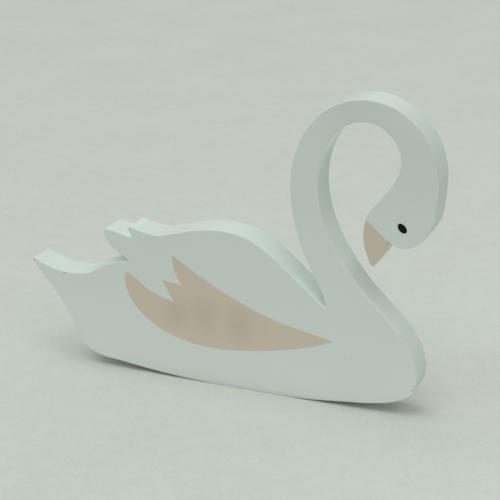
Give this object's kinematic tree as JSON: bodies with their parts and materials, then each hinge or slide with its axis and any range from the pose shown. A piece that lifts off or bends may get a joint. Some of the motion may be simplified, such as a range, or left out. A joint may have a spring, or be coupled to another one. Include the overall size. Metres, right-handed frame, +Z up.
{
  "type": "wooden swan figurine",
  "caption": "Flat wooden swan cut from one board, with a looped neck, folded wing and long tail, standing on its keel as a shelf ornament.",
  "frame": {"origin": "on the ground under the middle of the swan's length and of the board's thickness", "axes": "+X from the tail to the breast, along the length; Y through the board's thickness, with the painted front face towards -Y; +Z up"},
  "size_m": [0.248, 0.018, 0.1793],
  "materials": {
    "white_paint": "matt chalky white paint on wood board, with beige painted wing patch and beak and a black painted eye"
  },
  "bodies": {
    "root": {"swan": "white_paint"}
  },
  "joints": []
}
